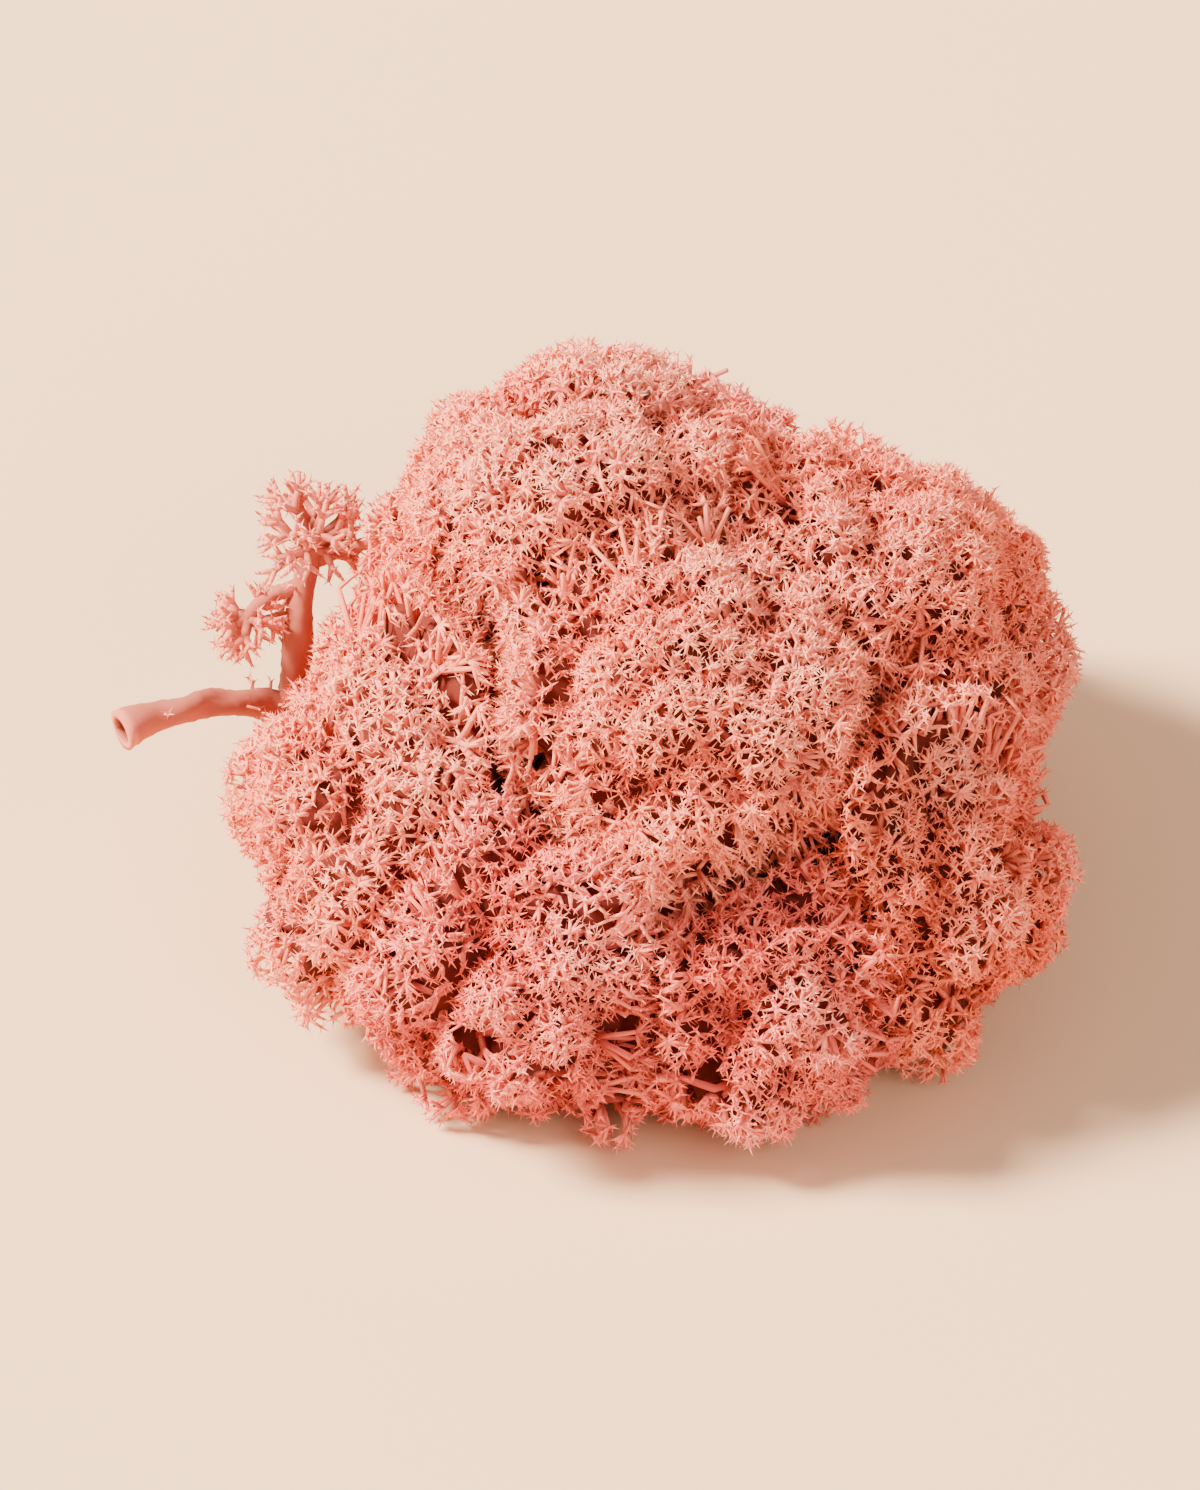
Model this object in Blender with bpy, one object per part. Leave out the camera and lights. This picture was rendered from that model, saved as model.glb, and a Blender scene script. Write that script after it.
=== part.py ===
"""Reindeer moss clump: a tuft of dyed, preserved lichen, in metres with +Z up.

The clump is a bunch of podetia. Each podetium grew as one piece, so it is one object: a stem that
stands on its cut foot, struts that fork off the stem, a domed crown in round lobes, and branchlets
that stand out of the crown all round. The crowns press against each other along flat dividing
planes, and no branchlet crosses a plane, so the objects meet without running into each other.
"""

import math
from typing import NamedTuple

import bmesh
import bpy
import numpy as np
from mathutils import Vector

MM = 0.001
SEED = 4817

# Room left between two podetia that press against each other
PODETIUM_GAP = 0.3 * MM

# Crown surface: round lobes, a tip on each facet, hollows between the tips
LOBE_HALF_ANGLE = math.radians(28)
LOBE_RELIEF = 0.2
TIP_LENGTH = 2.2 * MM
TIP_UNEVENNESS = 0.08
LONG_TIP_SHARE = 0.2
LONG_TIP_EXTRA = 1.1 * MM
UNDERSIDE_THINNING = 0.35
UNDERSIDE_SHRINK = 0.5
DIRECTION_JITTER = 0.2

# How far crowns that crowd each other fill the crease between them
CROWDING_FALL = 5.0
CROWDING_LIMIT = 0.9
CROWDING_STEPS = 6

# Net: open windows between the branches, with a raised strand round each
WINDOW_RADIUS = 1.6 * MM
WINDOW_CORNERS = 6
WINDOW_DEPTH = 5.0 * MM
STRAND_DEPTH = 0.5 * MM

# Stems, struts and the branchlets that stand out of a crown
FOOT_RADIUS = 1.3 * MM
NECK_RADIUS = 1.0 * MM
STRUT_RADIUS = 0.75 * MM
STRUT_TAPER = 0.75
STRUT_SINK = 0.82
STRUT_DROP = -0.42
SPRAY_ROOT = 0.7
SPRAY_RISE = 0.5 * MM
SPRAY_RADIUS = 0.62 * MM
SPRAY_TIP_LENGTH = 2.4 * MM
SPRAY_TIP_RADIUS = 0.36 * MM
SPRAY_SPREAD = math.radians(34)
SPRAY_TIPS = 2
POINT_RADIUS = 0.08 * MM

# How much of the height between two crowns tilts the plane that divides them
PLANE_TILT_SHARE = 0.3
GOLDEN_ANGLE = math.pi * (3 - math.sqrt(5))


class Podetium(NamedTuple):
    """Sizes of one podetium, in millimetres; underside is how low the crown stays full."""
    centre: tuple
    half_widths: tuple
    foot: tuple
    underside: float
    lobes: int
    facets: int
    windows: int
    struts: int
    sprays: int
    colour: tuple


PALE_CORAL = (0.83, 0.41, 0.32, 1)
CORAL = (0.80, 0.34, 0.25, 1)
ROSE = (0.81, 0.39, 0.33, 1)
BARE_STEM = (0.62, 0.29, 0.22, 1)

PODETIA = {
    "crown_crest": Podetium(
        (-1.0, 6.2, 19.6), (12.8, 13.3, 14.9), (-2.2, 5.4), -0.35,
        lobes=20, facets=190, windows=4, struts=5, sprays=5, colour=PALE_CORAL),
    "crown_right": Podetium(
        (12.9, 4.2, 14.8), (13.9, 13.4, 13.4), (12.8, 4.4), -0.35,
        lobes=18, facets=160, windows=4, struts=4, sprays=5, colour=CORAL),
    "crown_front": Podetium(
        (4.4, -5.1, 14.8), (15.2, 14.6, 14.2), (4.4, -4.6), -0.7,
        lobes=18, facets=190, windows=10, struts=2, sprays=3, colour=PALE_CORAL),
    "crown_left": Podetium(
        (-10.0, -3.9, 9.6), (12.4, 12.9, 12.2), (-9.4, -3.6), -0.8,
        lobes=16, facets=140, windows=4, struts=2, sprays=5, colour=PALE_CORAL),
    "crown_low_right": Podetium(
        (15.6, -7.3, 8.2), (11.4, 11.8, 10.8), (15.3, -6.6), -0.8,
        lobes=14, facets=100, windows=4, struts=2, sprays=4, colour=CORAL),
    "crown_fringe": Podetium(
        (-3.6, -12.7, 6.9), (12.4, 10.7, 9.4), (-3.4, -12.6), -0.9,
        lobes=13, facets=95, windows=6, struts=2, sprays=6, colour=ROSE),
    "crown_fringe_right": Podetium(
        (8.6, -13.2, 6.2), (11.3, 10.2, 8.7), (8.6, -12.6), -0.9,
        lobes=10, facets=80, windows=4, struts=2, sprays=5, colour=ROSE),
    "crown_back": Podetium(
        (3.5, 12.9, 12), (15, 11.8, 13.2), (4.6, 13.4), -0.5,
        lobes=18, facets=135, windows=4, struts=4, sprays=4, colour=ROSE),
    "crown_back_right": Podetium(
        (15.6, 13.4, 8.7), (11.3, 10.8, 10.8), (16.2, 13.0), -0.8,
        lobes=12, facets=90, windows=3, struts=2, sprays=4, colour=CORAL),
}
SPRIG_NAME = "forked_sprig"
SPRIG_CENTRE = (-19.4, 8.4, 14)
SPRIG_HALF_WIDTHS = (6, 6, 9)


def clear_scene():
    for thing in list(bpy.data.objects):
        bpy.data.objects.remove(thing, do_unlink=True)


def new_collection(name):
    collection = bpy.data.collections.new(name)
    bpy.context.scene.collection.children.link(collection)
    return collection


def moss_material(name, colour):
    material = bpy.data.materials.new(name)
    material.use_nodes = True
    shader = material.node_tree.nodes["Principled BSDF"]
    shader.inputs["Base Color"].default_value = colour
    shader.inputs["Roughness"].default_value = 0.85
    shader.inputs["Metallic"].default_value = 0.0
    return material


def mesh_object(name, bm, collection):
    mesh = bpy.data.meshes.new(name)
    bm.to_mesh(mesh)
    bm.free()
    made = bpy.data.objects.new(name, mesh)
    collection.objects.link(made)
    return made


def room_centres():
    """Centre and mean half width of the room that each podetium has, in metres."""
    rooms = {name: (p.centre, p.half_widths) for name, p in PODETIA.items()}
    rooms[SPRIG_NAME] = (SPRIG_CENTRE, SPRIG_HALF_WIDTHS)
    return {name: (np.array(c) * MM, np.mean(h) * MM) for name, (c, h) in rooms.items()}


def room_planes(name):
    """Planes round one podetium's room, as outward normals and their limits.

    Each plane stands square to the line between two centres, with its tilt eased upright, and
    cuts that line nearer the smaller crown. The last plane is the surface that the clump rests on.
    """
    rooms = room_centres()
    centre, radius = rooms[name]
    normals, limits = [(0, 0, -1)], [0.0]
    for other, (other_centre, other_radius) in rooms.items():
        if other == name:
            continue
        line = other_centre - centre
        share = 0.5 + (radius ** 2 - other_radius ** 2) / (2 * line @ line)
        normal = line * (1, 1, PLANE_TILT_SHARE)
        normal = normal / np.linalg.norm(normal)
        normals.append(normal)
        limits.append(normal @ (centre + share * line) - PODETIUM_GAP / 2)
    return np.array(normals), np.array(limits)


def inside_room(points, room):
    """True where a point is on the inner side of every plane."""
    normals, limits = room
    return (points @ normals.T <= limits + 1e-9).all(axis=1)


def distance_to_walls(origin, directions, room):
    """How far each direction runs from origin before it meets a plane."""
    normals, limits = room
    approach = directions @ normals.T
    ahead = limits - normals @ origin
    runs = np.where(approach > 1e-6, ahead / np.maximum(approach, 1e-6), np.inf)
    return runs.min(axis=1)


def even_directions(count, turn):
    """Directions on a golden-angle spiral, closer together above than below."""
    step = (np.arange(count) + 0.5) / count
    height = 1 - 2 * step * (1 + UNDERSIDE_THINNING * step) / (1 + UNDERSIDE_THINNING)
    angle = np.arange(count) * GOLDEN_ANGLE + turn
    across = np.sqrt(1 - height ** 2)
    return np.stack([across * np.cos(angle), across * np.sin(angle), height], axis=1)


def scattered(directions, amount, rng):
    """The same directions, each moved sideways at random by up to about the amount."""
    moved = directions + rng.normal(size=directions.shape) * amount
    return moved / np.linalg.norm(moved, axis=1, keepdims=True)


def nearest_angle(directions, others):
    """Angle from each direction to the nearest of the others."""
    return np.arccos(np.clip(directions @ others.T, -1, 1)).min(axis=1)


def window_centres(count, rng):
    """Windows on the flanks of a crown, spread evenly and clear of its top."""
    turn = rng.uniform(0, 2 * math.pi)
    angle = np.arange(count) * GOLDEN_ANGLE + turn
    height = np.linspace(0.62, -0.3, count) + rng.uniform(-0.06, 0.06, count)
    across = np.sqrt(1 - height ** 2)
    return np.stack([across * np.cos(angle), across * np.sin(angle), height], axis=1)


def window_rims(windows, radius):
    """Corners of the strand round each window, evenly spaced on a circle of that angle."""
    side = np.cross(windows, (0, 0, 1))
    side /= np.linalg.norm(side, axis=1, keepdims=True)
    up = np.cross(side, windows)
    corner = np.arange(WINDOW_CORNERS) * 2 * math.pi / WINDOW_CORNERS
    across = (np.cos(corner)[:, None, None] * side + np.sin(corner)[:, None, None] * up)
    rims = math.cos(radius) * windows + math.sin(radius) * across
    return rims.reshape(-1, 3)


def crowding(points, podetium):
    """How hard the other crowns press at each point, from 0 to about 1.

    Each gives exp(-CROWDING_FALL (size - 1)), where size is 1 on its ellipsoid and 2 on twice it.
    """
    press = np.zeros(len(points))
    for other in PODETIA.values():
        if other is not podetium:
            offset = (points - np.array(other.centre) * MM) / (np.array(other.half_widths) * MM)
            press += np.exp(-CROWDING_FALL * (np.linalg.norm(offset, axis=1) - 1))
    return press


def crown_reach(directions, podetium, lobes, room):
    """Distance from the crown's centre to its tips.

    An ellipsoid's radius, lowered between the lobes by a half circle's profile across each lobe,
    drawn in under the crown, pushed out where other crowns press, and cut off at the room's walls.
    """
    half_widths = np.array(podetium.half_widths) * MM
    ellipsoid = 1 / np.linalg.norm(directions / half_widths, axis=1)
    across_lobe = nearest_angle(directions, lobes) / LOBE_HALF_ANGLE
    lift = np.sqrt(np.clip(1 - across_lobe ** 2, 0, None))
    below = np.clip((podetium.underside - directions[:, 2]) / (1 + podetium.underside), 0, 1)
    drawn_in = 1 - UNDERSIDE_SHRINK * below * below * (3 - 2 * below)
    free = ellipsoid * (1 - LOBE_RELIEF * (1 - lift)) * drawn_in
    centre = np.array(podetium.centre) * MM
    reach = free
    for _ in range(CROWDING_STEPS):
        press = crowding(centre + directions * reach[:, None], podetium)
        reach = free * (1 - np.log(1 - np.minimum(press, CROWDING_LIMIT)) / CROWDING_FALL)
    return np.minimum(reach, distance_to_walls(centre, directions, room))


def crown_core(name, podetium, lobes, windows, room, rng, collection):
    """Crown with a three-sided tip on each facet and a pit at each window.

    The hull of evenly spread directions gives the facets, and poking raises a tip on each.
    Every point then moves out along its own direction, so the surface never folds over itself.
    """
    spacing = math.sqrt(4 * math.pi / podetium.facets)
    window_angle = WINDOW_RADIUS / (np.mean(podetium.half_widths) * MM)
    directions = even_directions(podetium.facets, rng.uniform(0, 2 * math.pi))
    directions = scattered(directions, DIRECTION_JITTER * spacing, rng)
    clear = nearest_angle(directions, windows) > 1.6 * window_angle
    rims = window_rims(windows, window_angle)
    directions = np.concatenate([directions[clear], rims, windows])

    bm = bmesh.new()
    for direction in directions:
        bm.verts.new(direction)
    bmesh.ops.convex_hull(bm, input=bm.verts[:])
    bm.verts.ensure_lookup_table()
    pits = set(bm.verts[-len(windows):])
    strands = set(bm.verts[clear.sum():-len(windows)])
    between = [face for face in bm.faces if pits.isdisjoint(face.verts)]
    tips = set(bmesh.ops.poke(bm, faces=between)["verts"])

    unit = np.array([vert.co.normalized() for vert in bm.verts])
    walls = distance_to_walls(np.array(podetium.centre) * MM, unit, room)
    reach = crown_reach(unit, podetium, lobes, room)
    uneven = 1 - TIP_UNEVENNESS * rng.random(len(unit))
    extra = np.where(rng.random(len(unit)) < LONG_TIP_SHARE, LONG_TIP_EXTRA, 0)
    tip_reach = np.minimum(reach * uneven + extra, walls)
    for index, vert in enumerate(bm.verts):
        if vert in tips:
            radius = tip_reach[index]
        elif vert in pits:
            radius = reach[index] - WINDOW_DEPTH
        elif vert in strands:
            radius = reach[index] - STRAND_DEPTH
        else:
            radius = reach[index] - TIP_LENGTH
        radius = max(radius, 0.3 * reach[index])
        vert.co = Vector(podetium.centre) * MM + Vector(unit[index]) * radius
    bmesh.ops.triangulate(bm, faces=bm.faces[:])
    bmesh.ops.recalc_face_normals(bm, faces=bm.faces[:])
    return mesh_object(name, bm, collection)


def tube(points, radii, sides, collection):
    """Round branch along points, as a mesh with welded caps."""
    curve = bpy.data.curves.new("branch", "CURVE")
    curve.dimensions = "3D"
    curve.bevel_depth = 1.0
    curve.bevel_resolution = sides // 2 - 2
    curve.use_fill_caps = True
    spline = curve.splines.new("POLY")
    spline.points.add(len(points) - 1)
    for place, point, radius in zip(spline.points, points, radii):
        place.co = (*point, 1)
        place.radius = radius
    holder = bpy.data.objects.new("branch", curve)
    collection.objects.link(holder)
    evaluated = holder.evaluated_get(bpy.context.evaluated_depsgraph_get())
    mesh = bpy.data.meshes.new_from_object(evaluated)
    bpy.data.objects.remove(holder, do_unlink=True)
    bm = bmesh.new()
    bm.from_mesh(mesh)
    bpy.data.meshes.remove(mesh)
    bmesh.ops.remove_doubles(bm, verts=bm.verts[:], dist=0.01 * MM)
    bmesh.ops.recalc_face_normals(bm, faces=bm.faces[:])
    return mesh_object("branch", bm, collection)


def bow(start, middle, end, steps):
    """Points on the smooth curve that leaves start towards middle and arrives at end."""
    t = np.linspace(0, 1, steps + 1)[:, None]
    start, middle, end = (np.array(p, float) for p in (start, middle, end))
    return (1 - t) ** 2 * start + 2 * t * (1 - t) * middle + t ** 2 * end


def upright_from(foot, middle, end, steps):
    """A bow whose first stretch stands straight up, so that its end is cut flat and level."""
    points = bow(foot, middle, end, steps)
    points[1, :2] = points[0, :2]
    return points


def thorn(start, end, start_radius, end_radius, collection, sides=3):
    """Straight three-sided branchlet, thick at its root."""
    start, end = Vector(start), Vector(end)
    along = end - start
    bm = bmesh.new()
    bmesh.ops.create_cone(bm, cap_ends=True, segments=sides, radius1=start_radius,
                          radius2=end_radius, depth=along.length)
    bmesh.ops.translate(bm, verts=bm.verts[:], vec=(0, 0, along.length / 2))
    turn = along.to_track_quat("Z", "Y").to_matrix()
    bmesh.ops.rotate(bm, verts=bm.verts[:], matrix=turn)
    bmesh.ops.translate(bm, verts=bm.verts[:], vec=start)
    return mesh_object("branchlet", bm, collection)


def forked_tips(start, direction, count, length, rng):
    """End points of tips that fork off evenly round a direction, each leaning out from it."""
    direction = Vector(direction).normalized()
    side = direction.orthogonal().normalized()
    other_side = direction.cross(side)
    first = rng.uniform(0, 2 * math.pi)
    ends = []
    for index in range(count):
        angle = first + 2 * math.pi * index / count
        outward = side * math.cos(angle) + other_side * math.sin(angle)
        lean = SPRAY_SPREAD * rng.uniform(0.75, 1.15)
        ends.append(Vector(start) + (direction * math.cos(lean) + outward * math.sin(lean)) * length)
    return ends


def add_stem(podetium, collection):
    """Stem from the cut foot, flat on the surface, up to the middle of the crown."""
    foot = np.array([*podetium.foot, 0.0]) * MM
    centre = np.array(podetium.centre) * MM
    knee = foot + (0, 0, 0.6 * centre[2])
    points = upright_from(foot, knee, centre, 3)
    radii = np.linspace(FOOT_RADIUS, NECK_RADIUS, len(points))
    return tube(points, radii, 8, collection)


def add_struts(podetium, lobes, room, collection):
    """Branches that leave the stem low down and run out under the crown."""
    foot = np.array([*podetium.foot, 0.0]) * MM
    centre = np.array(podetium.centre) * MM
    fork = foot + 0.35 * (centre - foot)
    angles = np.arange(podetium.struts) * 2 * math.pi / podetium.struts + podetium.lobes
    across = math.sqrt(1 - STRUT_DROP ** 2)
    directions = np.stack([across * np.cos(angles), across * np.sin(angles),
                           np.full(len(angles), STRUT_DROP)], axis=1)
    reach = crown_reach(directions, podetium, lobes, room)
    ends = centre + directions * (STRUT_SINK * reach)[:, None]
    for end in ends:
        bend = 0.5 * (fork + end) - (0, 0, 0.12 * (end[2] - fork[2]))
        points = bow(fork, bend, end, 2)
        radii = np.linspace(1.0, STRUT_TAPER, len(points)) * STRUT_RADIUS
        tube(points, radii, 4, collection)


def add_sprays(podetium, lobes, room, rng, collection):
    """Forked branchlets that stand out of the crown wherever their tips keep to its room."""
    centre = np.array(podetium.centre) * MM
    directions = even_directions(podetium.sprays * 3, rng.uniform(0, 2 * math.pi))
    directions = scattered(directions, 0.1, rng)
    reach = crown_reach(directions, podetium, lobes, room)
    placed = 0
    for direction, radius in zip(directions, reach):
        end = centre + direction * (radius + SPRAY_RISE - 0.4 * SPRAY_TIP_LENGTH)
        tips = forked_tips(end, direction, SPRAY_TIPS, SPRAY_TIP_LENGTH, rng)
        if placed == podetium.sprays or not inside_room(np.array(tips), room).all():
            continue
        root = centre + direction * SPRAY_ROOT * radius
        thorn(root, end, SPRAY_RADIUS, SPRAY_TIP_RADIUS * 1.3, collection)
        sunk = Vector(end) - Vector(direction) * 0.3 * MM
        for tip in tips:
            thorn(sunk, tip, SPRAY_TIP_RADIUS, POINT_RADIUS, collection)
        placed += 1


def keep_outer_shell(mesh):
    """Fills hollows that the joining sealed, and drops loose scraps, by keeping the largest shell."""
    bm = bmesh.new()
    bm.from_mesh(mesh)
    bmesh.ops.triangulate(bm, faces=bm.faces[:])
    unseen = set(bm.faces)
    shells = []
    while unseen:
        shell, edge_of_shell = [], [unseen.pop()]
        while edge_of_shell:
            face = edge_of_shell.pop()
            shell.append(face)
            for edge in face.edges:
                beside = unseen.intersection(edge.link_faces)
                unseen -= beside
                edge_of_shell.extend(beside)
        shells.append(shell)
    shells.sort(key=len)
    for shell in shells[:-1]:
        bmesh.ops.delete(bm, geom=shell, context="FACES")
    bm.to_mesh(mesh)
    bm.free()


def combine(body, pieces, operation):
    """Joins a collection's pieces to the body, or cuts them from it, and removes them."""
    change = body.modifiers.new(operation.lower(), "BOOLEAN")
    change.operation = operation
    change.operand_type = "COLLECTION"
    change.collection = pieces
    change.solver = "MANIFOLD"
    evaluated = body.evaluated_get(bpy.context.evaluated_depsgraph_get())
    changed = bpy.data.meshes.new_from_object(evaluated)
    keep_outer_shell(changed)
    body.modifiers.remove(change)
    before = body.data
    body.data = changed
    bpy.data.meshes.remove(before)
    for piece in list(pieces.objects):
        bpy.data.objects.remove(piece, do_unlink=True)
    bpy.data.collections.remove(pieces)


def finish(body, name, colour):
    body.name = name
    body.data.name = name
    body.data.materials.clear()
    body.data.materials.append(moss_material(name + "_dye", colour))
    body.data.shade_flat()
    return body


def make_crown(name, order, clump):
    podetium = PODETIA[name]
    rng = np.random.default_rng(SEED + order)
    room = room_planes(name)
    lobes = scattered(even_directions(podetium.lobes, rng.uniform(0, 2 * math.pi)), 0.09, rng)
    windows = window_centres(podetium.windows, rng)
    body = crown_core(name, podetium, lobes, windows, room, rng, clump)
    pieces = new_collection(name + "_branches")
    add_stem(podetium, pieces)
    add_struts(podetium, lobes, room, pieces)
    add_sprays(podetium, lobes, room, rng, pieces)
    combine(body, pieces, "UNION")
    return finish(body, name, podetium.colour)


# Sprig: the bare podetium beside the clump, in millimetres
SPRIG_FOOT = (-17.4, 7.7, 0)
SPRIG_FORK = (-17.6, 6.9, 10.5)
SPRIG_CUT_END = (-27.4, 2.6, 12.0)
SPRIG_TUFT = (-16.6, 9.4, 20.0)
SPRIG_BRIDGE_DIRECTION = (4.0, -1.0, 1.2)
SPRIG_HOOK_DIRECTION = (4.0, -3.6, 0.6)
SPRIG_STEM_RADII = (1.25, 1.15, 1.05, 1.05, 1.15)
SPRIG_ARM_RADII = (1.1, 0.9, 0.8, 0.85, 0.95, 1.2)
SPRIG_RISE_RADII = (1.1, 0.95, 0.85, 0.75, 0.7)
SPRIG_TWIG_RADII = (0.5, 0.4, 0.35)
SPRIG_HOOK_RADII = (0.8, 0.65, 0.6)
SPRIG_DROOP_RADII = (0.6, 0.5, 0.45, 0.45)
SPRIG_BORE_RADIUS = 0.78
SPRIG_BORE_DEPTH = 6.0
# Two tufts: the upright one and a smaller one that hangs from the rising arm
SPRIG_TUFT_TWIGS, SPRIG_TUFT_REACH, SPRIG_TUFT_LIFT = 15, 2.3, 0.45
SPRIG_DROP = (-20.2, 8.0, 15.9)
SPRIG_DROOP_START, SPRIG_DROOP_SWING = (-16.9, 8.8, 17.6), (-0.6, -0.3, 1.2)
SPRIG_DROP_TWIGS, SPRIG_DROP_REACH, SPRIG_DROP_LIFT = 9, 1.5, -0.35

# How close the sprig's two twigs come to the crowns that they lean on
SPRIG_TOUCH_GAP = 0.4 * MM
SPRIG_REACH_STRIDE = 0.05 * MM
SPRIG_REACH_STRIDES = 160


def reach_to_crown(start, direction, end_radius, crown_name):
    """First point along a direction where a branch's end comes up to a crown."""
    crown = bpy.data.objects[crown_name]
    stride = Vector(direction).normalized() * SPRIG_REACH_STRIDE
    point = Vector(start)
    for _ in range(SPRIG_REACH_STRIDES):
        nearest = crown.closest_point_on_mesh(point)[1]
        if (nearest - point).length < end_radius + SPRIG_TOUCH_GAP:
            break
        point += stride
    return np.array(point)


def add_tuft(heart, twigs, reach, lift, room, rng, collection):
    """Forked branchlets out of one point, all leaning up or down by the lift."""
    for direction in scattered(even_directions(twigs, 0.4), 0.15, rng):
        direction = direction * (1, 1, 0.75) + (0, 0, lift)
        end = heart + direction * reach * MM
        tips = forked_tips(end, direction, SPRAY_TIPS, SPRAY_TIP_LENGTH, rng)
        if not inside_room(np.array(tips), room).all():
            continue
        thorn(heart, end, SPRIG_TWIG_RADII[0] * MM, SPRAY_TIP_RADIUS, collection)
        for tip in tips:
            thorn(end - direction * 0.2 * MM, tip, SPRAY_TIP_RADIUS, POINT_RADIUS, collection)


def make_sprig(clump):
    rng = np.random.default_rng(SEED)
    room = room_planes(SPRIG_NAME)
    foot, fork, cut_end, tuft, drop = (np.array(p) * MM for p in (
        SPRIG_FOOT, SPRIG_FORK, SPRIG_CUT_END, SPRIG_TUFT, SPRIG_DROP))
    sunk_fork = fork - (0, 0, 0.8 * MM)
    stem = upright_from(foot, foot + (0, 0, 5 * MM), fork, 4)
    body = tube(stem, np.array(SPRIG_STEM_RADII) * MM, 8, clump)
    pieces = new_collection("sprig_branches")

    # Arm that runs out to the cut, hollow end
    arm = bow(sunk_fork, fork + (-4 * MM, -1 * MM, 2.2 * MM), cut_end, 5)
    tube(arm, np.array(SPRIG_ARM_RADII) * MM, 8, pieces)
    # Arm that rises to the tuft
    tube(bow(sunk_fork, fork + (0, 0.5 * MM, 5 * MM), tuft, 4), np.array(SPRIG_RISE_RADII) * MM, 8, pieces)
    # Thin twig that bridges across to the crest, and a short one that hooks into the left crown
    bridge_end = reach_to_crown(tuft, SPRIG_BRIDGE_DIRECTION, SPRIG_TWIG_RADII[-1] * MM, "crown_crest")
    tube(bow(tuft - (0, 0, 2 * MM), 0.5 * (tuft + bridge_end), bridge_end, 2),
         np.array(SPRIG_TWIG_RADII) * MM, 6, pieces)
    hook_end = reach_to_crown(fork, SPRIG_HOOK_DIRECTION, SPRIG_HOOK_RADII[-1] * MM, "crown_left")
    tube(bow(sunk_fork, 0.5 * (fork + hook_end), hook_end, 2), np.array(SPRIG_HOOK_RADII) * MM, 6, pieces)
    # Upright tuft, and the hanging one at the end of a twig that droops from the rising arm
    add_tuft(tuft, SPRIG_TUFT_TWIGS, SPRIG_TUFT_REACH, SPRIG_TUFT_LIFT, room, rng, pieces)
    leaves_arm, outward = np.array(SPRIG_DROOP_START) * MM, np.array(SPRIG_DROOP_SWING) * MM
    tube(bow(leaves_arm, 0.5 * (leaves_arm + drop) + outward, drop, 3),
         np.array(SPRIG_DROOP_RADII) * MM, 6, pieces)
    add_tuft(drop, SPRIG_DROP_TWIGS, SPRIG_DROP_REACH, SPRIG_DROP_LIFT, room, rng, pieces)
    combine(body, pieces, "UNION")

    # Bore that shows as a ring at the cut end
    inward = Vector(arm[-2] - arm[-1]).normalized()
    cutters = new_collection("cutters")
    mouth = Vector(cut_end) - inward * 1.0 * MM
    thorn(mouth, mouth + inward * SPRIG_BORE_DEPTH * MM, SPRIG_BORE_RADIUS * MM,
          0.6 * SPRIG_BORE_RADIUS * MM, cutters, sides=8)
    combine(body, cutters, "DIFFERENCE")
    return finish(body, SPRIG_NAME, BARE_STEM)


def make_clump():
    clear_scene()
    clump = new_collection("reindeer_moss_clump")
    for order, name in enumerate(PODETIA, start=1):
        make_crown(name, order, clump)
    make_sprig(clump)


make_clump()
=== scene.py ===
# %% [markdown]
# # Reindeer moss clump
# Reindeer moss is not a moss but a lichen. Each podetium is a hollow stem that forks again and
# again, and its last forks end in stars of fine points that close up into a domed, lobed crown.
# A clump is a bunch of podetia pressed together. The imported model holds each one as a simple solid,
# and this script grows the real branches inside the same outlines.

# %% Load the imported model
import math
from typing import NamedTuple

import bpy
import numpy as np
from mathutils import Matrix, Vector


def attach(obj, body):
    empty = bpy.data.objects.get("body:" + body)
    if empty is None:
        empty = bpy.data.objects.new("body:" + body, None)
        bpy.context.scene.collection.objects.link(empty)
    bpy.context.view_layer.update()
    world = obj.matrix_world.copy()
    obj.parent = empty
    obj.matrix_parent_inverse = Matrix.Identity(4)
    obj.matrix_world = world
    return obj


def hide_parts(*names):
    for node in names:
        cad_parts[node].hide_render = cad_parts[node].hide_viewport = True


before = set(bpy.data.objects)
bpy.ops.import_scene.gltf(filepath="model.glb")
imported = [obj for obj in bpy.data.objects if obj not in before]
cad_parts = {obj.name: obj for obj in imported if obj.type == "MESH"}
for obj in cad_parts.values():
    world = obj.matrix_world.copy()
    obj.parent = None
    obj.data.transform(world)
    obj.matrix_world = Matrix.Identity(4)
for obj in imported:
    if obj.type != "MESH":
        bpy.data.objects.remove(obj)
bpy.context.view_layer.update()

MM = 0.001

# %% [markdown]
# ## Camera, floor and light
# The clump is looked down on at 40 degrees from far off. A long lens from the same distance keeps
# that flat perspective and lets the clump fill the frame, which a near camera would not.
# The light is one large warm window on the left, with a pale room round it, so the shadows stay soft.

# %% Camera
VIEW_ELEVATION = math.radians(40)
VIEW_DISTANCE = 1.367
VIEW_TARGET = Vector((-0.2, -0.3, 13.4)) * MM
VIEW_WIDTH = 68 * MM
IMAGE_WIDTH, IMAGE_HEIGHT = 1200, 1490
SENSOR = 36.0


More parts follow.
